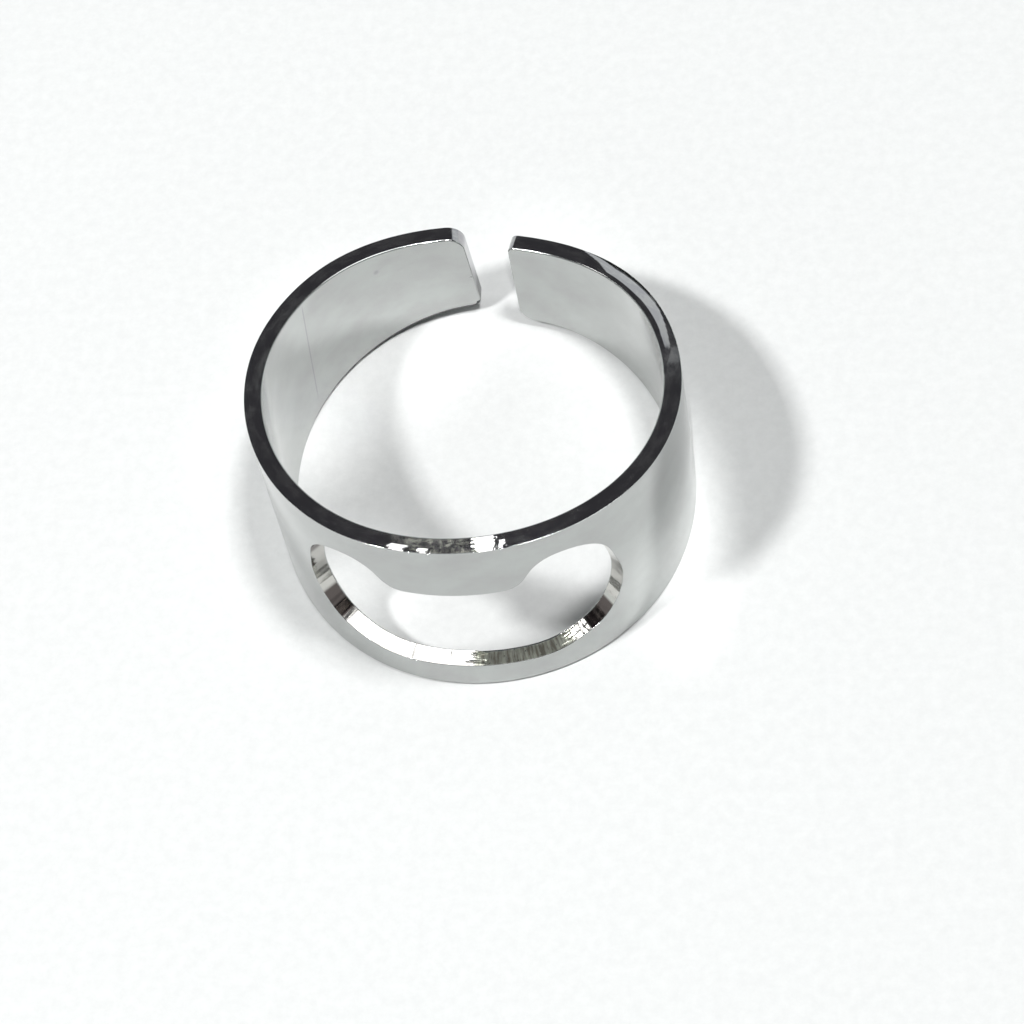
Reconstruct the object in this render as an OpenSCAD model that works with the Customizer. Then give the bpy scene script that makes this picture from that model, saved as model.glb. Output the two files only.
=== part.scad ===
// Open finger ring bent from one strip of polished steel, with a bottle opener slot through its wide front.
// It stands on its lower edge as it lies on a table: front towards -Y, open ends towards +Y, +Z up.

/* [Band] */
// Inside diameter of the ring, in mm
inner_d = 22; // [20:0.5:24]
// Thickness of the strip, in mm
wall = 1; // [0.9:0.1:1.4]
// Width of the band at the middle of the front, in mm
front_w = 12.2; // [11.8:0.2:13]
// Slope of each edge towards the narrow back, in degrees
edge_slope = 6.6; // [6:0.2:7.2]
// Distance behind the axis where the edges begin to curve in, in mm
curve_start = 7; // [6:0.5:8]
// Radius of that curve, in mm
curve_r = 20; // [16:1:24]

/* [Open ends] */
// Width of the gap between the two ends, in mm
gap_w = 2.4; // [1:0.1:3]
// Angle from the back to the middle of the gap, towards +X, in degrees
gap_turn = 2; // [0:0.5:5]
// Radius of the four end corners, in mm
end_corner_r = 0.8; // [0.6:0.1:1.4]

/* [Opener slot] */
// Half length of the slot along the strip, in mm
slot_half = 8.9; // [8.5:0.1:9.1]
// Lowest edge of the slot, below the middle of the band, in mm
slot_low = 4.4; // [4.2:0.1:4.6]
// Highest edge of the two lobes, above the middle of the band, in mm
slot_high = 4.2; // [4:0.1:4.4]
// Lower edge of the tongue between the lobes, above the middle of the band, in mm
tongue_low = 2.4; // [2.2:0.1:2.5]
// Half length of the tongue along the strip, in mm
tongue_half = 3.3; // [3.1:0.1:3.5]

/* [Hidden] */
$fn = 96;

inner_r = inner_d / 2;
outer_r = inner_r + wall;
mid_r = inner_r + wall / 2;

// How far cutting shapes reach past the band, and the steps that a rounded corner takes
margin = 2;
reach = outer_r + margin;
corner_steps = 8;

// Angle that a length along the strip turns the band by
function bend(length) = length / mid_r * 180 / PI;

// Half width of the band at a distance y behind the ring's axis: a straight edge, then a curve
function straight_half(y) = front_w / 2 - (y + inner_r) * tan(edge_slope);
curve_y = curve_start - curve_r * sin(edge_slope);
curve_z = straight_half(curve_start) - curve_r * cos(edge_slope);
function curved_half(y) = curve_z + sqrt(curve_r * curve_r - pow(y - curve_y, 2));

// Half angle of the gap, and the height at which the end corners' arcs are centred
gap_half = bend(gap_w / 2);
end_corner_z = curved_half(inner_r) - end_corner_r;

// The ring leans back by the slope of its edges, so that the lower one lies flat
front_y = -outer_r * cos(edge_slope) - straight_half(-outer_r) * sin(edge_slope);
back_y = outer_r * cos(edge_slope) + curved_half(outer_r) * sin(edge_slope);
rest_height = straight_half(0) * cos(edge_slope);

// Names of the columns in a table of corners: place along the strip, height, and rounding radius
ALONG = 0;
UP = 1;
ROUND = 2;

// Where each end of the slot joins its middle part, and how far it starts below the straight lower edge
slot_joint = 3;
slot_below = 0.12;
// Outline of one end of the slot, from outside. A level plane cuts its lower side straight, and its upper
// side ends inside the tongue, which is left standing.
slot_end = [
    [slot_joint, -slot_low - slot_below, 0],
    [slot_half - 4.5, -slot_low - slot_below, 5],
    [slot_half + 0.6, -slot_low + 1.8, 3.5],
    [slot_half - 1, slot_high, 3],
    [slot_joint, slot_high, 0],
];
// Middle of that end, where its cut points at the axis
slot_end_at = 6;

// Right half of the tongue, from its lower edge up past the lobe's top
tongue_side = [
    [tongue_half, tongue_low, 1.3],
    [tongue_half + 1.25, slot_high - 0.1, 1.6],
    [tongue_half + 3.5, slot_high + 0.5, 0],
    [tongue_half + 3.5, slot_high + 2, 0],
];
function other_side(row) = [-row[ALONG], row[UP], row[ROUND]];
tongue = concat(tongue_side, [for (i = [len(tongue_side) - 1:-1:0]) other_side(tongue_side[i])]);

function unit(v) = v / norm(v);

// Points of the arc that rounds corner b between its neighbours a and c
function round_corner(a, b, c, r) =
    let (to_a = unit(a - b), to_c = unit(c - b))
    let (half_angle = acos(to_a * to_c) / 2)
    let (centre = b + unit(to_a + to_c) * r / sin(half_angle))
    let (start = b + to_a * r / tan(half_angle) - centre)
    let (way = sign(to_a[0] * to_c[1] - to_a[1] * to_c[0]))
    [for (k = [0:corner_steps])
        let (t = -way * (180 - 2 * half_angle) * k / corner_steps)
        centre + [start[0] * cos(t) - start[1] * sin(t), start[0] * sin(t) + start[1] * cos(t)]];

function flat_point(row) = [row[ALONG], row[UP]];

// Outline of a table of corners, bent to the band as seen along its radius at a given place on the strip
function bent_outline(corners, at) =
    let (last = len(corners) - 1)
    [for (i = [0:last])
        let (before = flat_point(corners[i == 0 ? last : i - 1]))
        let (after = flat_point(corners[i == last ? 0 : i + 1]))
        let (here = flat_point(corners[i]), r = corners[i][ROUND])
        each [for (p = r == 0 ? [here] : round_corner(before, here, after, r))
            [mid_r * sin(bend(p[ALONG] - at)), p[UP]]]];

// Upper edge of the side view, from the front to the ends
curve_steps = 10;
curve_end = asin((reach - 0.5 - curve_y) / curve_r);
edge_line = concat(
    [[-reach, straight_half(-reach)]],
    [for (k = [0:curve_steps])
        let (t = edge_slope + (curve_end - edge_slope) * k / curve_steps)
        [curve_y + curve_r * sin(t), curve_z + curve_r * cos(t)]]
);
side_view = concat(edge_line, [for (k = [len(edge_line) - 1:-1:0]) [edge_line[k][0], -edge_line[k][1]]]);

// Round wall, cut to the side view
module tapered_wall() {
    intersection() {
        difference() {
            cylinder(r = outer_r, h = 2 * reach, center = true);
            cylinder(r = inner_r, h = 2 * reach + 2, center = true);
        }
        rotate([90, 0, 90])
            linear_extrude(height = 2 * reach, center = true)
                polygon(side_view);
    }
}

// Turns a shape's +Z outwards along the band's radius, at an angle from the front
module on_radius(angle) {
    rotate([0, 0, angle])
        rotate([90, 0, 0])
            children();
}

// Outside of a rounded corner that points to +X and +Y: an arc, then a straight line across the edge
module corner_notch() {
    arc_end = 60;
    tip = end_corner_r * [cos(arc_end), sin(arc_end)] + margin * [-sin(arc_end), cos(arc_end)];
    translate([0, 0, -margin])
        linear_extrude(height = 2 * margin)
            polygon(concat(
                [for (k = [0:corner_steps])
                    end_corner_r * [cos(arc_end * k / corner_steps), sin(arc_end * k / corner_steps)]],
                [tip, [end_corner_r + margin, tip[1]], [end_corner_r + margin, 0]]
            ));
}

// Opens the band between its ends and rounds their corners
module gap_cut() {
    rotate([0, 0, -gap_turn])
        linear_extrude(height = 2 * reach, center = true)
            polygon([
                [0, 0],
                [reach * tan(gap_half), reach],
                [-reach * tan(gap_half), reach],
            ]);
    for (side = [0, 1], top = [0, 1])
        rotate([0, 0, -gap_turn])
            mirror([side, 0, 0])
                mirror([0, 0, top])
                    on_radius(180 - gap_half - bend(end_corner_r))
                        translate([0, end_corner_z, mid_r])
                            corner_notch();
}

// Solid that reaches from near the axis outwards, with the outline of a table of corners
module radial_prism(corners, at) {
    on_radius(bend(at))
        translate([0, 0, margin])
            linear_extrude(height = reach)
                polygon(bent_outline(corners, at));
}

// The opener slot: a straight lower edge, two lobes, and between them the tongue that hooks a cap
module slot_cut() {
    difference() {
        intersection() {
            union() {
                for (side = [0, 1])
                    mirror([side, 0, 0])
                        radial_prism(slot_end, slot_end_at);
                translate([-slot_joint - 0.6, -reach, -slot_low - 1])
                    cube([2 * slot_joint + 1.2, reach - margin, slot_low + slot_high]);
            }
            translate([-reach, -2 * reach, -slot_low])
                cube([2 * reach, 2 * reach, 2 * reach]);
        }
        radial_prism(tongue, 0);
    }
}

module band() {
    color("silver")
        translate([0, -(front_y + back_y) / 2, rest_height])
            rotate([-edge_slope, 0, 0])
                difference() {
                    tapered_wall();
                    gap_cut();
                    slot_cut();
                }
}

band();
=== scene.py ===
import math

import bmesh
import bpy
import numpy as np
from mathutils import Matrix, Vector
from mathutils.geometry import delaunay_2d_cdt


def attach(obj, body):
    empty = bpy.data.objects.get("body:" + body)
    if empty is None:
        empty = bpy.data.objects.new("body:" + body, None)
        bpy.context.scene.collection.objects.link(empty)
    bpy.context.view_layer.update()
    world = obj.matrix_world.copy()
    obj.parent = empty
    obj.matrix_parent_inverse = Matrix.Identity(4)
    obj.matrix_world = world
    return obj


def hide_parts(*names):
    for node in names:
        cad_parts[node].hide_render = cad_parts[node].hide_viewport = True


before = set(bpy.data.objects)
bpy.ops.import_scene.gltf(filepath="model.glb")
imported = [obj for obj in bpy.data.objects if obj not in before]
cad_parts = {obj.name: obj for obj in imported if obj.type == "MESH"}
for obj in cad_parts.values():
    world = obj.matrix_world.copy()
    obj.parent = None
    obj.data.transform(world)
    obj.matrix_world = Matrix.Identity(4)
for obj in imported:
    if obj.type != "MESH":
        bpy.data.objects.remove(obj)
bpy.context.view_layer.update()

# Lengths are in mm and angles in degrees. A place on the strip has a length along it from the middle of the
# front, towards +X, a height above its middle line, and a depth outwards from its inner face.
MM = 0.001

# The band's plan is the curve of its inner face seen from above, by the polar angle from the middle of the
# front. It is a circle pressed to a slight oval by waves, each an order, a cosine part and a sine part.
# Past SPRING_FROM the left end is sprung outwards and the right end inwards. The curve is followed as far
# as PLAN_REACH on each side.
INNER_R = 11.0
WALL = 1.0
PLAN_WAVES = ((2, 0.171, 0.266), (3, 0.004, 0.005), (4, -0.049, -0.048))
SPRING = 0.377
SPRING_FROM = 110
SPRING_OVER = 60
PLAN_REACH = 184
PLAN_STEP = 0.25

# Half width of the strip. It tapers straight towards the back, in a direction turned a little from the
# slot's, and curves in further from CURVE_FROM behind the axis.
FRONT_HALF = 6.12
TAPER = 0.1168
TAPER_TURN = -8.5
CURVE_FROM = 7.0
CURVE = 0.0222

# Where the strip ends. The left end is slanted, so its top ends earlier by LEFT_SLANT.
LEFT_END = -35.75
LEFT_SLANT = 0.28
RIGHT_END = 34.15
END_RADII = {"left_top": 0.9, "left_bottom": 0.45, "right_bottom": 1.0, "right_top": 0.4}

# Right half of the slot, from the middle of its lower edge: place along the strip, height, rounding radius
SLOT_HALF = (
    (4.58, -4.43, 7.0),
    (9.49, -2.59, 3.6),
    (7.87, 4.23, 3.0),
    (4.5, 4.23, 1.8),
    (3.25, 2.33, 1.4),
)

# Edges of the strip are tumbled to a small radius. Near the left end the inner edge is rounder within
# UNDER_HEIGHT of the strip's lowest line. An edge rounder than DARK_EDGE_R has the look of the cut wall,
# and takes its painted shade low on the strip.
OUTER_R = 0.03
INNER_EDGE_R = 0.09
UNDER_R = 0.25
UNDER_TO = -29
UNDER_FADE = 9
UNDER_HEIGHT = 0.5
DARK_EDGE_R = 0.13

# Flats worn into the rim over the slot, which lean outwards: middle and half length of each along the
# strip, and the depth from the inner face at which it begins. Their ends are bowed and uneven.
FLAT_LEAN = 8
FLATS = ((2.15, 0.55, 0), (2.95, 0.14, 0.45), (-2.25, 0.4, 0.62), (-0.95, 0.2, 0.7))
FLAT_FADE = 0.12
FLAT_BOW = 0.5
FLAT_RIPPLE = {"height": 0.06, "length": 0.4, "seed": 4}

# A longer facet on the rim at the back right: depths where it begins and ends, by the place along the strip
FACET_LEAN = 14
FACET_AT = (18.2, 19.2, 20.5, 23, 25, 27.6, 28.6, 30)
FACET_INNER = (0, 0.1, 0.3, 0.36, 0.33, 0.3, 0.65, 1)
FACET_OUTER = (0, 0.2, 0.62, 0.86, 1, 1, 1, 1)

# How far the slot's punched lower wall leans inwards, by the place along the strip, and how far below the
# middle line the lean sets in. Right of WANDER_FROM, the places where it changes wander a little.
PUNCH_LEAN_AT = (-6, -3.6, 0.1, 0.5, 5.2, 5.6)
PUNCH_LEAN = (0, -7, -7, 6, 6, 0)
PUNCH_LEAN_BELOW = (1.5, 3)
WANDER_FROM = (-2, -1)
WANDER = {"height": 0.2, "length": 0.4, "seed": 8}

# Grooves through that wall, and its broken surface, which begins at BREAKS_FROM. They slant along the strip
# by so much for each mm of depth.
GROOVES = {"height": 0.0012, "length": 0.4, "seed": 11}
GROOVE_SLANT = 0.1
BREAKS = {"height": 0.004, "length": 0.7, "seed": 12}
BREAK_SLANT = -0.5
BREAK_SWELL = {"height": 1, "length": 1.6, "seed": 13}
SWELL_SLANT = 1.5
BREAKS_FROM = -1.7
BREAKS_FADE = 0.5

# A ripple is a sum of waves, whose turns in the length of a bump lie between two numbers
RIPPLE_WAVES = 7
RIPPLE_TURNS = (0.6, 1.8)

# Stretches of the strip where the cut edge is worn bright, where the punched wall is torn, and where dark
# reflections are painted on the punched wall
WORN = (-1.9, 1.6)
WORN_FADE = 1.3
TORN = (0.3, 5.4)
TORN_FADE = 0.3
PAINTED_DARK_REFLECTIONS = ((-8.4, -7.35), (6.6, 7.9))
DARK_REFLECTION_FADE = 0.1

# Heights between which painted shade darkens the cut edge. It stands in for the shade on the edge below
# them, which faces the floor.
PAINTED_SHADE_HEIGHTS = (-0.5, -1.5)

# A fine slanted scratch down the inner face: its place at the middle line, how far it slants for each mm of
# height, its ends with their fades, the half widths of its core and of its blurred edge, and its strength
SCRATCH_AT = -24.05
SCRATCH_SLANT = 0.12
SCRATCH_LOW = -2.5
SCRATCH_LOW_FADE = 1
SCRATCH_HIGH = 3.7
SCRATCH_HIGH_FADE = 0.5
SCRATCH_HALF = (0.02, 0.07)
SCRATCH_STRENGTH = 0.5
INNER_FACE_DEPTH = (0.1, 0.2)

# A small stain on the inner face: its place, the radii of its core and its blurred edge, and its strength
DOT_AT = (-30, 2.25, 0)
DOT_R = (0.08, 0.22)
DOT_STRENGTH = 0.4

# Sizes of the mesh, and the small step that slopes are taken over
RIM_STEP = 0.13
SLOT_STEP = 0.07
SLOPE_STEP = 0.01
GRID_ALONG = 0.45
GRID_UP = 0.8
GRID_MARGIN = 1
GRID_CLEAR = 0.15
SAME_POINT = 1e-7
FILLET_STEPS = 4
WALL_ROWS = 18
ARC_STEPS = 10

# The ring leans back on its straight lower edge, and its axis crosses this place above the floor
AXIS_Y = 0.19

# Colours of the steel. Where there are two, the surface wanders between them.
POLISHED_CLOUDS = ((0.45, 0.455, 0.45, 1), (0.495, 0.51, 0.50, 1))
MARK_COLOUR = (0.27, 0.26, 0.28, 1)
EDGE_PATCHES = ((0.42, 0.415, 0.435, 1), (0.50, 0.495, 0.50, 1))
EDGE_WORN = (0.66, 0.67, 0.60, 1)
# Painted shade for the cut edge low on the strip, where it faces the floor
EDGE_PAINTED_SHADE = (0.06, 0.06, 0.065, 1)
PUNCHED_COLOUR = (0.60, 0.59, 0.56, 1)
TORN_STREAKS = ((0.26, 0.25, 0.21, 1), (0.58, 0.60, 0.52, 1))
# Painted dark reflection on the punched wall
DARK_REFLECTION_COLOUR = (0.13, 0.11, 0.105, 1)

# Spans of a noise between which a pattern goes from nothing to full. Nearly all of a noise is in the first.
NOISE_SPAN = (0.3, 0.7)
CLOUD_SPAN = (0.35, 0.65)
SPECK_SPAN = (0.4, 0.6)
PATCH_SPAN = (0.45, 0.6)
SPECK_STRENGTH = (0.2, 1)

# Roughness of the steel's faces, and how much rougher they are where they are worn or torn
POLISHED_ROUGHNESS = (0.1, 0.2)
EDGE_ROUGHNESS = (0.06, 0.16)
WORN_ROUGHER = 0.08
PUNCHED_ROUGHNESS = (0.08, 0.18)
TORN_ROUGHER = 0.18

# Heights of the fine relief that the materials add
WAVINESS = 0.03
FINE_SCRATCHES = 0.0004
MOTTLING = 0.0015
PUNCHED_RELIEF = 0.002

# The pale matt floor: half its side, its colours and surface, and the bumps in a metre of grain and fibres
FLOOR_HALF = 600
FLOOR_GRAIN = ((0.72, 0.73, 0.725, 1), (0.76, 0.77, 0.765, 1))
FLOOR_ROUGHNESS = 0.9
FLOOR_SHINE = 0.1
FLOOR_RELIEF = 0.01
GRAIN_SCALE = 1500.0
FIBRE_SCALE = 3500.0

# The camera: where it stands round the ring, and the point that it looks at
CAMERA_AZIMUTH = 17.64
CAMERA_ELEVATION = 59.87
CAMERA_ROLL = -17.81
CAMERA_DISTANCE = 158.36
CAMERA_AIM = (1.887, -3.468, 2.569)
SENSOR = 36
FOCAL_LENGTH = 101.95
NEAREST = 1
FURTHEST = 10000

# The room round the ring: pale walls up to a dark ceiling, which the flat cut edges mirror
WALL_COLOUR = (0.82, 0.86, 0.855, 1)
CEILING_COLOUR = (0.06, 0.06, 0.064, 1)
WALLS_END_AT = 24
CEILING_BEGINS_AT = 28

# Lamps: name, azimuth, elevation, distance, sides, power, and whether it lights the floor or only shines in
# glossy faces
LAMPS = (
    ("overhead", 100, 76, 450, (60, 60), 1.1, True),
    ("window", -65, 58, 500, (56, 56), 1.65, True),
    ("strip_110", 110, 58, 500, (220, 130), 0.28, False),
    ("strip_148", 148, 61, 500, (220, 130), 0.28, False),
    ("strip_186", 186, 64, 500, (220, 130), 0.28, False),
    ("glint", 236, 46, 500, (60, 60), 0.1, False),
)

# Pools of light that the polished walls throw on the floor: name, azimuth and elevation that the light
# comes from, middle of the pool, its radius, power, and how much of the pool is its soft border
POOLS = (
    ("back_bounce", 80, 64, (-7.5, 9.5, 0), 6.5, 4.5, 0.8),
    ("gap_bounce", 20, 60, (3, 13, 0), 5.5, 1.8, 0.8),
    ("front_bounce", 120, 70, (-7.6, -6.3, 0), 3.8, 5, 0.8),
    ("left_bounce", 100, 66, (-11.5, 3, 0), 4.5, 6.5, 0.8),
    ("right_bounce", 5, 24, (10.6, -3.4, 0), 2.75, 19, 0.35),
)
# A pool's power is that of a spot SPOT_DISTANCE away. For a slim pool the spot stands nearer, SPOT_NEAR
# times the pool's radius away, and its power and size shrink to match.
SPOT_DISTANCE = 500
SPOT_NEAR = 100
SPOT_SIZE = 3


def smooth_step(value, low, high):
    k = np.clip((value - low) / (high - low), 0, 1)
    return k * k * (3 - 2 * k)


def window(value, low, high, fade):
    """1 between low and high, and falls to 0 over a fade on each side."""
    return smooth_step(value, low - fade, low) * (1 - smooth_step(value, high, high + fade))


def ripple(at, height, length, seed):
    """Uneven line whose bumps are about length long, and mostly lie within height of zero."""
    random = np.random.default_rng(seed)
    turns = random.uniform(*RIPPLE_TURNS, RIPPLE_WAVES) / length
    phases = random.uniform(0, 2 * math.pi, RIPPLE_WAVES)
    waves = np.sin(2 * math.pi * np.multiply.outer(at, turns) + phases)
    return height * (waves.sum(axis=-1) / math.sqrt(RIPPLE_WAVES))


def plan_curve():
    """Table of the inner face's plan: x, y, outward normal, and length along mid wall from the front."""
    theta = np.radians(np.linspace(-PLAN_REACH, PLAN_REACH, round(2 * PLAN_REACH / PLAN_STEP) + 1))
    r = np.full_like(theta, INNER_R)
    for order, cosine, sine in PLAN_WAVES:
        r += cosine * np.cos(order * theta) + sine * np.sin(order * theta)
    k = np.clip((np.abs(theta) - math.radians(SPRING_FROM)) / math.radians(SPRING_OVER), 0, 1)
    r -= SPRING * np.sign(theta) * k * k * (3 - 2 * k)
    x, y = r * np.sin(theta), -r * np.cos(theta)
    tangent_x, tangent_y = np.gradient(x), np.gradient(y)
    size = np.hypot(tangent_x, tangent_y)
    normal_x, normal_y = tangent_y / size, -tangent_x / size
    mid_x, mid_y = x + WALL / 2 * normal_x, y + WALL / 2 * normal_y
    along = np.concatenate([[0], np.cumsum(np.hypot(np.diff(mid_x), np.diff(mid_y)))])
    along -= np.interp(0, theta, along)
    return {"along": along, "x": x, "y": y, "nx": normal_x, "ny": normal_y}


PLAN = plan_curve()


def on_plan(along, depth):
    """Places seen from above, and their outward unit normals, at lengths along the strip and a depth."""
    nx = np.interp(along, PLAN["along"], PLAN["nx"])
    ny = np.interp(along, PLAN["along"], PLAN["ny"])
    size = np.hypot(nx, ny)
    nx, ny = nx / size, ny / size
    x = np.interp(along, PLAN["along"], PLAN["x"]) + depth * nx
    y = np.interp(along, PLAN["along"], PLAN["y"]) + depth * ny
    return x, y, nx, ny


def half_width(along):
    x, y, _, _ = on_plan(along, WALL / 2)
    turn = math.radians(TAPER_TURN)
    back = y * math.cos(turn) - x * math.sin(turn)
    return FRONT_HALF - TAPER * (back + INNER_R) - CURVE * np.maximum(0, back - CURVE_FROM) ** 2


def arc_between(start, corner, end):
    """Arc that touches the lines from start and end to a corner, which is equally far from both."""
    to_start, to_end = start - corner, end - corner
    half = math.acos(np.dot(to_start, to_end) / np.linalg.norm(to_start) / np.linalg.norm(to_end)) / 2
    middle = to_start + to_end
    centre = corner + middle / np.linalg.norm(middle) * np.linalg.norm(to_start) / math.cos(half)
    a, b = start - centre, end - centre
    turn = math.atan2(a[0] * b[1] - a[1] * b[0], a @ b)
    angles = [turn * k / ARC_STEPS for k in range(ARC_STEPS + 1)]
    return [centre + [a[0] * math.cos(angle) - a[1] * math.sin(angle),
                      a[0] * math.sin(angle) + a[1] * math.cos(angle)] for angle in angles]


def rounded(corners):
    """Closed outline of corners, each an (along, up, radius) row, with an arc at each."""
    points = np.array([row[:2] for row in corners])
    out = []
    for i, row in enumerate(corners):
        before, here, after = points[i - 1], points[i], points[(i + 1) % len(corners)]
        to_before = (before - here) / np.linalg.norm(before - here)
        to_after = (after - here) / np.linalg.norm(after - here)
        half = math.acos(to_before @ to_after) / 2
        reach = row[2] / math.tan(half)
        out += arc_between(here + to_before * reach, here, here + to_after * reach)
    return np.array(out)


def end_corner(end, side, radius):
    """Arc from the strip's long edge to its end. side is 1 at the top and -1 at the bottom."""
    inward = -np.sign(end)
    slope = (half_width(end) - half_width(end + inward)) * inward
    half = (math.pi / 2 + math.atan(slope)) / 2
    reach = radius / math.tan(half)
    start_along = end + inward * reach * math.cos(math.atan(slope))
    before_along = start_along + inward * SLOPE_STEP
    start = np.array([start_along, side * half_width(start_along)])
    before = np.array([before_along, side * half_width(before_along)])
    way = (start - before) / np.linalg.norm(start - before)
    corner = start + way * (end - start[0]) / way[0]
    reach = np.linalg.norm(corner - start)
    return arc_between(start, corner, corner - [0, side * reach])


def evenly(loop, step):
    """Closed loop of points at even steps along another."""
    closed = np.vstack([loop, loop[:1]])
    length = np.concatenate([[0], np.cumsum(np.linalg.norm(np.diff(closed, axis=0), axis=1))])
    at = np.linspace(0, length[-1], int(length[-1] / step) + 1)[:-1]
    return np.column_stack([np.interp(at, length, closed[:, 0]), np.interp(at, length, closed[:, 1])])


def strip_outline():
    """The strip's outline, counter-clockwise as seen from outside the ring."""
    left_bottom = end_corner(LEFT_END, -1, END_RADII["left_bottom"])
    right_bottom = end_corner(RIGHT_END, -1, END_RADII["right_bottom"])
    right_top = end_corner(RIGHT_END, 1, END_RADII["right_top"])
    left_top = end_corner(LEFT_END + LEFT_SLANT, 1, END_RADII["left_top"])
    low = np.arange(left_bottom[0][0] + RIM_STEP, right_bottom[0][0], RIM_STEP)
    high = np.arange(left_top[0][0] + RIM_STEP, right_top[0][0], RIM_STEP)
    return np.vstack([
        left_bottom[::-1], np.column_stack([low, -half_width(low)]), right_bottom,
        right_top[::-1], np.column_stack([high, half_width(high)])[::-1], left_top,
    ])


def slot_outline():
    """The slot's outline, clockwise as seen from outside the ring."""
    left = [(-along, up, radius) for along, up, radius in SLOT_HALF]
    return rounded(list(SLOT_HALF) + left[::-1])[::-1]


def side_normals(loop):
    """Unit normals of a loop, away from the metal, which lies to its left."""
    way = np.roll(loop, -1, axis=0) - np.roll(loop, 1, axis=0)
    way /= np.linalg.norm(way, axis=1)[:, None]
    return np.column_stack([way[:, 1], -way[:, 0]])


def inside(points, loop):
    """Which points lie inside a closed loop."""
    result = np.zeros(len(points), bool)
    for a, b in zip(loop, np.roll(loop, -1, axis=0)):
        crosses = (a[1] > points[:, 1]) != (b[1] > points[:, 1])
        if crosses.any():
            at = a[0] + (points[:, 1] - a[1]) * (b[0] - a[0]) / (b[1] - a[1])
            result ^= crosses & (points[:, 0] < at)
    return result


def clear_of(points, loop, distance):
    """Which points lie further than distance from every point of a loop."""
    near = np.full(len(points), np.inf)
    for a in loop:
        near = np.minimum(near, np.hypot(points[:, 0] - a[0], points[:, 1] - a[1]))
    return near > distance


def edge_radii(loop):
    """Radii of the outer and the inner edge along a loop."""
    lower = loop[:, 1] < UNDER_HEIGHT - half_width(loop[:, 0])
    under = window(loop[:, 0], LEFT_END, UNDER_TO, UNDER_FADE) * lower
    return np.full(len(loop), OUTER_R), INNER_EDGE_R + (UNDER_R - INNER_EDGE_R) * under


def rim_wear(loop, depth):
    """How far the rim's cut face lies below its true place, at each point of a loop."""
    on_top = loop[:, 1] > 0
    depth = np.broadcast_to(depth, len(loop))
    uneven = loop[:, 0] + ripple(depth, **FLAT_RIPPLE)
    sunk = np.zeros(len(loop))
    for middle, half, start in FLATS:
        bowed = uneven + np.sign(uneven - middle) * FLAT_BOW * (depth - (start + WALL) / 2) ** 2
        flat = window(bowed, middle - half, middle + half, FLAT_FADE)
        sunk += flat * np.maximum(0, depth - start) * math.tan(math.radians(FLAT_LEAN))
    begins = np.interp(loop[:, 0], FACET_AT, FACET_INNER)
    ends = np.interp(loop[:, 0], FACET_AT, FACET_OUTER)
    sunk += (np.clip(depth, begins, ends) - begins) * math.tan(math.radians(FACET_LEAN))
    return on_top * sunk


def punch_wear(loop, depth):
    """The same for the slot's punched wall: its lean, the grooves through it and its broken part."""
    along, up = loop[:, 0], loop[:, 1]
    uneven = along + ripple(depth * np.ones(len(loop)), **WANDER) * smooth_step(along, *WANDER_FROM)
    lean_in = np.tan(np.radians(np.interp(uneven, PUNCH_LEAN_AT, PUNCH_LEAN)))
    lean_in = lean_in * smooth_step(-up, *PUNCH_LEAN_BELOW)
    length = np.concatenate([[0], np.cumsum(np.linalg.norm(np.diff(loop, axis=0), axis=1))])
    grooves = ripple(length + GROOVE_SLANT * depth, **GROOVES)
    swell = ripple(length + SWELL_SLANT * depth, **BREAK_SWELL)
    broken = ripple(length + BREAK_SLANT * depth, **BREAKS) * swell
    broken = broken * smooth_step(along, BREAKS_FROM - BREAKS_FADE, BREAKS_FROM)
    return lean_in * (WALL - depth) + grooves + broken


class Mesh:
    """Rows of points in the strip's own measures: along, up, depth, and a normal in the same three ways."""

    def __init__(self):
        self.places = []
        self.normals = []
        self.faces = []
        self.kinds = []

    def add(self, flat, depth, side, face):
        """Adds a row of points. side is each normal's part in the sheet, face its part across the sheet."""
        first = sum(len(row) for row in self.places)
        self.places.append(np.column_stack([flat, np.broadcast_to(depth, len(flat))]))
        self.normals.append(np.column_stack([side, np.broadcast_to(face, len(flat))]))
        return first

    def join(self, first, second, kinds):
        """Joins two closed rows by quads, with the kind of each quad's material."""
        count = len(kinds)
        for i in range(count):
            j = (i + 1) % count
            self.faces.append((first + i, first + j, second + j, second + i))
            self.kinds.append(int(kinds[i]))


# Kinds of surface, in the order of the band's materials
POLISHED, CUT_EDGE, PUNCHED = 0, 1, 2


def wall_rows(loop, kind):
    """Rows of a cut wall from the outer face to the inner one.

    Each row has how far it is set back from the wall, its depth, the turn of its normal from the outer
    face, and the kinds of surface between it and the row before."""
    outer_r, inner_r = edge_radii(loop)
    polished, cut = np.full(len(loop), POLISHED), np.full(len(loop), kind)
    rows = []
    for k in range(FILLET_STEPS + 1):
        turn = math.pi / 2 * k / FILLET_STEPS
        depth = WALL - outer_r * (1 - math.cos(turn))
        rows.append((outer_r * (1 - math.sin(turn)), depth, turn, polished))
    for k in range(1, WALL_ROWS):
        depth = WALL - outer_r - (WALL - outer_r - inner_r) * k / WALL_ROWS
        rows.append((np.zeros(len(loop)), depth, math.pi / 2, cut))
    for k in range(FILLET_STEPS + 1):
        turn = math.pi / 2 * (1 + k / FILLET_STEPS)
        depth = inner_r * (1 + math.cos(turn))
        # A rounder inner edge takes the cut edge's material, and with it that material's painted shade low
        # on the strip
        kinds = cut if k == 0 else np.where(inner_r > DARK_EDGE_R, kind, POLISHED)
        rows.append((inner_r * (1 - math.sin(turn)), depth, turn, kinds))
    return rows


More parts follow.
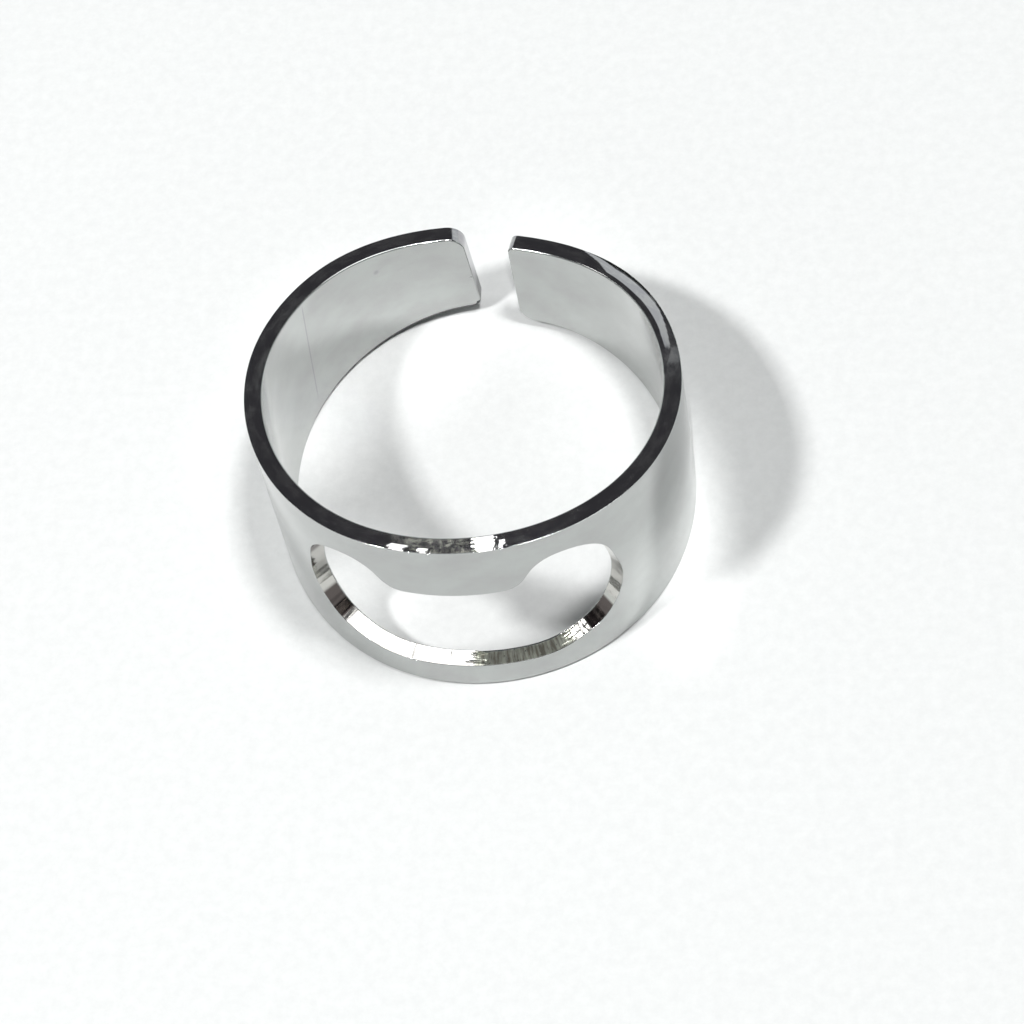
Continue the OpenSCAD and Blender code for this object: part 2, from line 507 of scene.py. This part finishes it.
def cut_wall(mesh, loop, wear, kind):
    """The cut edge of the strip round one loop, with its rounded edges.

    Returns the loop and row where the outer face begins, and those where the inner face begins."""
    side = side_normals(loop)
    way = np.column_stack([-side[:, 1], side[:, 0]])
    spacing = np.linalg.norm(np.roll(loop, -1, axis=0) - np.roll(loop, 1, axis=0), axis=1)
    rows = wall_rows(loop, kind)
    firsts = []
    for set_back, depth, turn, _ in rows:
        sunk = wear(loop, depth) * math.sin(turn)
        slope_along = (np.roll(sunk, -1) - np.roll(sunk, 1)) / spacing
        rise = wear(loop, depth + SLOPE_STEP) - wear(loop, depth - SLOPE_STEP)
        slope_across = rise / (2 * SLOPE_STEP) * math.sin(turn)
        flat = loop - side * (set_back + sunk)[:, None]
        normal = side * math.sin(turn) + way * slope_along[:, None]
        firsts.append(mesh.add(flat, depth, normal, math.cos(turn) + slope_across))
    for first, second, row in zip(firsts, firsts[1:], rows[1:]):
        mesh.join(first, second, row[3])
    outer_loop, inner_loop = (loop - side * row[0][:, None] for row in (rows[0], rows[-1]))
    return (outer_loop, firsts[0]), (inner_loop, firsts[-1])


def broad_face(mesh, rim, slot, depth, face):
    """One broad face of the strip, triangulated between the rows that its cut walls begin with."""
    (rim, rim_row), (slot, slot_row) = rim, slot
    ends = max(abs(LEFT_END), RIGHT_END)
    grid_up = np.arange(-FRONT_HALF - GRID_MARGIN, FRONT_HALF + GRID_MARGIN, GRID_UP)
    grid = []
    for i, along in enumerate(np.arange(-ends, ends, GRID_ALONG)):
        shift = GRID_UP / 2 if i % 2 else 0
        grid += [(along, up + shift) for up in grid_up]
    grid = np.array(grid)
    kept = inside(grid, rim) & ~inside(grid, slot)
    kept &= clear_of(grid, rim, GRID_CLEAR) & clear_of(grid, slot, GRID_CLEAR)
    grid = grid[kept]
    flat = np.vstack([rim, slot, grid])
    edges = [(i, (i + 1) % len(rim)) for i in range(len(rim))]
    edges += [(len(rim) + i, len(rim) + (i + 1) % len(slot)) for i in range(len(slot))]
    whole_hull = 0
    found = delaunay_2d_cdt([Vector(p) for p in flat], edges, [], whole_hull, SAME_POINT)
    new_of = [ids[0] for ids in found[3]]
    triangles = np.array([[new_of[i] for i in made] for made in found[2]])
    middles = flat[triangles].mean(axis=1)
    triangles = triangles[inside(middles, rim) & ~inside(middles, slot)]
    first = mesh.add(grid, depth, np.zeros((len(grid), 2)), face)
    at = np.concatenate([
        np.arange(len(rim)) + rim_row,
        np.arange(len(slot)) + slot_row,
        np.arange(len(grid)) + first,
    ])
    for triangle in triangles:
        mesh.faces.append(tuple(int(at[i]) for i in triangle))
        mesh.kinds.append(POLISHED)


def lean():
    """Turns the ring's own frame to the row's: the straight lower edge lies on the floor."""
    turn = math.radians(TAPER_TURN)
    hinge = Vector((math.cos(turn), math.sin(turn), 0))
    rotation = Matrix.Rotation(-math.atan(TAPER), 4, hinge)
    height = (FRONT_HALF - TAPER * INNER_R) * math.cos(math.atan(TAPER))
    return Matrix.Translation((0, AXIS_Y, height)) @ rotation


def bent_and_leaned(places, normals):
    """The strip's points, in metres, and unit normals, bent round the plan and set down on the floor."""
    x, y, nx, ny = on_plan(places[:, 0], places[:, 2])
    points = np.column_stack([x, y, places[:, 1]])
    ways = np.column_stack([
        -normals[:, 0] * ny + normals[:, 2] * nx,
        normals[:, 0] * nx + normals[:, 2] * ny,
        normals[:, 1],
    ])
    to_row = lean()
    points = [to_row @ Vector(p) * MM for p in points]
    lowest = Vector((0, 0, min(p.z for p in points)))
    points = [p - lowest for p in points]
    return points, [(to_row.to_3x3() @ Vector(w)).normalized() for w in ways]


def placed(name, data):
    """A new object in the scene."""
    made = bpy.data.objects.new(name, data)
    bpy.context.collection.objects.link(made)
    return made


def build_band():
    mesh = Mesh()
    rim = cut_wall(mesh, evenly(strip_outline(), RIM_STEP), rim_wear, CUT_EDGE)
    slot = cut_wall(mesh, evenly(slot_outline(), SLOT_STEP), punch_wear, PUNCHED)
    broad_face(mesh, rim[0], slot[0], WALL, 1)
    broad_face(mesh, rim[1], slot[1], 0, -1)
    places = np.vstack(mesh.places)
    points, ways = bent_and_leaned(places, np.vstack(mesh.normals))

    work = bmesh.new()
    for point in points:
        work.verts.new(point)
    work.verts.ensure_lookup_table()
    for face, kind in zip(mesh.faces, mesh.kinds):
        corners = [points[i] for i in face]
        across = (corners[1] - corners[0]).cross(corners[2] - corners[0])
        if across.dot(sum((ways[i] for i in face), Vector())) < 0:
            face = face[::-1]
        made = work.faces.new([work.verts[i] for i in face])
        made.material_index = kind
        made.smooth = True
    data = bpy.data.meshes.new("ring_band")
    work.to_mesh(data)
    work.free()
    data.normals_split_custom_set_from_vertices([tuple(w) for w in ways])
    strip = data.attributes.new("strip", "FLOAT_VECTOR", "POINT")
    strip.data.foreach_set("vector", places.astype(np.float32).ravel())
    return placed("ring_band", data)


class Shading:
    """Nodes of a material or of the world. A function that adds a node returns its output."""

    def __init__(self, owner):
        owner.use_nodes = True
        self.nodes, self.links = owner.node_tree.nodes, owner.node_tree.links

    def feed(self, socket, value):
        """Links another node's output to an input, or sets the input to a value."""
        if isinstance(value, bpy.types.NodeSocket):
            self.links.new(value, socket)
        else:
            socket.default_value = value

    def node(self, kind, output, inputs, **settings):
        """Any node, with its settings, and its inputs by name or number."""
        node = self.nodes.new(kind)
        for name, value in settings.items():
            setattr(node, name, value)
        for name, value in inputs.items():
            self.feed(node.inputs[name], value)
        return node.outputs[output]

    def noise(self, vector, scale=1.0, detail=2.0, roughness=0.5):
        inputs = {"Vector": vector, "Scale": scale, "Detail": detail, "Roughness": roughness}
        return self.node("ShaderNodeTexNoise", "Fac", inputs)

    def ramp(self, value, start, end, to=(0, 1)):
        """Goes from the first to the second of to while the value goes from start to end."""
        inputs = {"Value": value, "From Min": start, "From Max": end, "To Min": to[0], "To Max": to[1]}
        return self.node("ShaderNodeMapRange", "Result", inputs)

    def maths(self, operation, *values):
        return self.node("ShaderNodeMath", "Value", dict(enumerate(values)), operation=operation)

    def mixed(self, share, first, second):
        """Colour between two others, where share is the second one's part."""
        node = self.nodes.new("ShaderNodeMix")
        node.data_type = "RGBA"
        self.feed(node.inputs[0], share)
        colours = [socket for socket in node.inputs if socket.type == "RGBA"]
        for socket, value in zip(colours, (first, second)):
            self.feed(socket, value)
        return next(socket for socket in node.outputs if socket.type == "RGBA")

    def bump(self, height, relief, normal=None):
        """Normal of a relief in mm, on top of another normal. The height goes from 0 to 1."""
        inputs = {"Height": height, "Distance": relief * MM, "Strength": 1.0}
        if normal:
            inputs["Normal"] = normal
        return self.node("ShaderNodeBump", "Normal", inputs)


class Material(Shading):
    """A material whose shader's inputs are set by name."""

    def __init__(self, name):
        self.made = bpy.data.materials.new(name)
        super().__init__(self.made)
        self.inputs = self.nodes["Principled BSDF"].inputs

    def set(self, name, value):
        self.feed(self.inputs[name], value)


class Steel(Material):
    """A bare steel whose patterns lie on the strip, in its own measures."""

    def __init__(self, name):
        super().__init__(name)
        self.set("Metallic", 1.0)
        self.strip = self.node("ShaderNodeAttribute", "Vector", {}, attribute_name="strip")

    def pattern(self, stretch, detail=2.0, roughness=0.5):
        """Noise whose scale differs along the strip, up it and through it."""
        vector = self.node("ShaderNodeMapping", "Vector", {"Vector": self.strip, "Scale": stretch})
        return self.noise(vector, 1.0, detail, roughness)

    def measure(self, axis):
        """X is the place along the strip, Y the height on it and Z the depth."""
        return self.node("ShaderNodeSeparateXYZ", axis, {"Vector": self.strip})

    def stretch_of(self, low, high, fade):
        """1 between two places along the strip, and falls to 0 over a fade on each side."""
        along = self.measure("X")
        rise = self.ramp(along, low - fade, low)
        fall = self.ramp(along, high, high + fade, to=(1, 0))
        return self.maths("MULTIPLY", rise, fall)


def long_scratch(steel):
    """Mask of a fine scratch that runs down the inner face at the back left."""
    height = steel.measure("Y")
    slanted = steel.maths("MULTIPLY", height, SCRATCH_SLANT)
    beside = steel.maths("ADD", steel.maths("ADD", steel.measure("X"), -SCRATCH_AT), slanted)
    mask = steel.ramp(steel.maths("ABSOLUTE", beside), *SCRATCH_HALF, to=(SCRATCH_STRENGTH, 0))
    low = steel.ramp(height, SCRATCH_LOW - SCRATCH_LOW_FADE, SCRATCH_LOW)
    high = steel.ramp(height, SCRATCH_HIGH, SCRATCH_HIGH + SCRATCH_HIGH_FADE, to=(1, 0))
    inner = steel.ramp(steel.measure("Z"), *INNER_FACE_DEPTH, to=(1, 0))
    for part in (low, high, inner):
        mask = steel.maths("MULTIPLY", mask, part)
    return mask


def small_dot(steel):
    """Mask of a small stain on the inner face near the left end."""
    two_places = {0: steel.strip, 1: DOT_AT}
    distance = steel.node("ShaderNodeVectorMath", "Value", two_places, operation="DISTANCE")
    return steel.ramp(distance, *DOT_R, to=(DOT_STRENGTH, 0))


def polished_steel():
    """Mirror-polished faces with a soft haze, slight waviness and fine scratches along the strip."""
    steel = Steel("polished_steel")
    haze = steel.pattern(stretch=(0.25, 0.5, 1), detail=3.0)
    steel.set("Roughness", steel.ramp(haze, *NOISE_SPAN, to=POLISHED_ROUGHNESS))
    clouds = steel.pattern(stretch=(0.35, 0.5, 3), detail=4.0, roughness=0.6)
    colour = steel.mixed(steel.ramp(clouds, *CLOUD_SPAN), *POLISHED_CLOUDS)
    for mark in (long_scratch(steel), small_dot(steel)):
        colour = steel.mixed(mark, colour, MARK_COLOUR)
    steel.set("Base Color", colour)
    normal = steel.bump(steel.pattern(stretch=(0.3, 0.15, 1), detail=1.0), WAVINESS)
    normal = steel.bump(steel.pattern(stretch=(1.2, 30, 1)), FINE_SCRATCHES, normal)
    steel.set("Normal", normal)
    return steel.made


def cut_edge_steel():
    """Tumbled cut edge: darker, mottled and a little uneven, with painted shade where it lies low on the
    strip.
    """
    steel = Steel("cut_edge_steel")
    mottle = steel.pattern(stretch=(0.8, 1, 2), detail=4.0, roughness=0.6)
    specks = steel.pattern(stretch=(3, 3, 4), detail=3.0, roughness=0.6)
    specks = steel.ramp(specks, *SPECK_SPAN, to=SPECK_STRENGTH)
    worn = steel.maths("MULTIPLY", steel.stretch_of(*WORN, WORN_FADE), specks)
    colour = steel.mixed(steel.ramp(mottle, *PATCH_SPAN), *EDGE_PATCHES)
    colour = steel.mixed(worn, colour, EDGE_WORN)
    # Painted shade: the cut edge goes dark low on the strip, where it faces the floor
    colour = steel.mixed(steel.ramp(steel.measure("Y"), *PAINTED_SHADE_HEIGHTS), colour, EDGE_PAINTED_SHADE)
    steel.set("Base Color", colour)
    roughness = steel.ramp(mottle, *NOISE_SPAN, to=EDGE_ROUGHNESS)
    steel.set("Roughness", steel.maths("ADD", roughness, steel.maths("MULTIPLY", worn, WORN_ROUGHER)))
    steel.set("Normal", steel.bump(mottle, MOTTLING))
    return steel.made


def punched_steel():
    """Punched wall of the slot: fine grooves run through the wall, and its surface is broken and bright.
    Two stretches carry painted dark reflections.
    """
    steel = Steel("punched_steel")
    grooves = steel.pattern(stretch=(6, 6, 0.5), detail=3.0, roughness=0.6)
    breaks = steel.noise(steel.strip, scale=3.0, detail=4.0, roughness=0.6)
    torn = steel.stretch_of(*TORN, TORN_FADE)
    streaks = steel.mixed(steel.ramp(grooves, *SPECK_SPAN), *TORN_STREAKS)
    colour = steel.mixed(torn, PUNCHED_COLOUR, streaks)
    # Painted dark reflections: two stretches of the punched wall go nearly black
    for stretch in PAINTED_DARK_REFLECTIONS:
        colour = steel.mixed(steel.stretch_of(*stretch, DARK_REFLECTION_FADE), colour, DARK_REFLECTION_COLOUR)
    steel.set("Base Color", colour)
    roughness = steel.ramp(breaks, *NOISE_SPAN, to=PUNCHED_ROUGHNESS)
    steel.set("Roughness", steel.maths("ADD", roughness, steel.maths("MULTIPLY", torn, TORN_ROUGHER)))
    normal = steel.bump(grooves, PUNCHED_RELIEF)
    steel.set("Normal", steel.bump(breaks, PUNCHED_RELIEF, normal))
    return steel.made


def pale_floor():
    """Matt white, with a faint grain and fine fibres."""
    matt = Material("pale_floor")
    matt.set("Roughness", FLOOR_ROUGHNESS)
    matt.set("Specular IOR Level", FLOOR_SHINE)
    where = matt.node("ShaderNodeTexCoord", "Object", {})
    grain = matt.noise(where, GRAIN_SCALE, detail=4.0, roughness=0.7)
    matt.set("Base Color", matt.mixed(matt.ramp(grain, *CLOUD_SPAN), *FLOOR_GRAIN))
    fibres = matt.noise(where, FIBRE_SCALE, detail=3.0)
    matt.set("Normal", matt.bump(fibres, FLOOR_RELIEF))
    return matt.made


def build_floor():
    half = FLOOR_HALF * MM
    work = bmesh.new()
    corners = [work.verts.new((x * half, y * half, 0)) for x, y in ((-1, -1), (1, -1), (1, 1), (-1, 1))]
    work.faces.new(corners)
    data = bpy.data.meshes.new("floor")
    work.to_mesh(data)
    work.free()
    data.materials.append(pale_floor())
    return placed("floor", data)


def direction(azimuth, elevation):
    """Unit vector from the ring to a place round it. Azimuth 0 is the front, and 90 is +X."""
    a, e = math.radians(azimuth), math.radians(elevation)
    return Vector((math.sin(a) * math.cos(e), -math.cos(a) * math.cos(e), math.sin(e)))


def build_camera():
    back = direction(CAMERA_AZIMUTH, CAMERA_ELEVATION)
    level = Vector((0, 0, 1)).cross(back).normalized()
    upright = back.cross(level)
    roll = math.radians(CAMERA_ROLL)
    right = level * math.cos(roll) + upright * math.sin(roll)
    up = back.cross(right)
    place = Vector(CAMERA_AIM) + back * CAMERA_DISTANCE
    data = bpy.data.cameras.new("camera")
    data.sensor_width = SENSOR
    data.lens = FOCAL_LENGTH
    data.clip_start = NEAREST * MM
    data.clip_end = FURTHEST * MM
    camera = placed("camera", data)
    camera.matrix_world = Matrix.Translation(place * MM) @ Matrix((right, up, back)).transposed().to_4x4()
    bpy.context.scene.camera = camera


def build_world():
    world = bpy.data.worlds.new("studio")
    room = Shading(world)
    way = room.node("ShaderNodeTexCoord", "Generated", {})
    height = room.node("ShaderNodeSeparateXYZ", "Z", {"Vector": way})
    walls_end, ceiling_begins = (math.sin(math.radians(at)) for at in (WALLS_END_AT, CEILING_BEGINS_AT))
    colour = room.mixed(room.ramp(height, walls_end, ceiling_begins), WALL_COLOUR, CEILING_COLOUR)
    room.feed(room.nodes["Background"].inputs["Color"], colour)
    bpy.context.scene.world = world


def aimed_light(name, data, aim, way, distance):
    """A light that stands a distance from the place that it aims at."""
    light = placed(name, data)
    light.location = (Vector(aim) + way * distance) * MM
    light.rotation_euler = way.to_track_quat("Z", "Y").to_euler()
    return light


def soft_light(name, azimuth, elevation, distance, sides, power, lights_floor):
    data = bpy.data.lights.new(name, "AREA")
    data.shape = "RECTANGLE"
    data.size, data.size_y = sides[0] * MM, sides[1] * MM
    data.energy = power
    light = aimed_light(name, data, (0, 0, 0), direction(azimuth, elevation), distance)
    light.visible_diffuse = lights_floor


def bounce_spot(name, azimuth, elevation, aim, radius, power, blend):
    """Soft pool of light on the floor, as a polished wall throws it."""
    distance = min(SPOT_DISTANCE, SPOT_NEAR * radius)
    data = bpy.data.lights.new(name, "SPOT")
    data.energy = power * (distance / SPOT_DISTANCE) ** 2
    data.spot_size = 2 * math.atan(radius / distance)
    data.spot_blend = blend
    data.shadow_soft_size = SPOT_SIZE * MM * distance / SPOT_DISTANCE
    light = aimed_light(name, data, aim, direction(azimuth, elevation), distance)
    light.visible_glossy = False


band = build_band()
for material in (polished_steel(), cut_edge_steel(), punched_steel()):
    band.data.materials.append(material)
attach(band, "root")
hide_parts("band")
build_floor()
build_camera()
build_world()
for lamp in LAMPS:
    soft_light(*lamp)
for pool in POOLS:
    bounce_spot(*pool)
bpy.context.scene.view_settings.view_transform = "Standard"
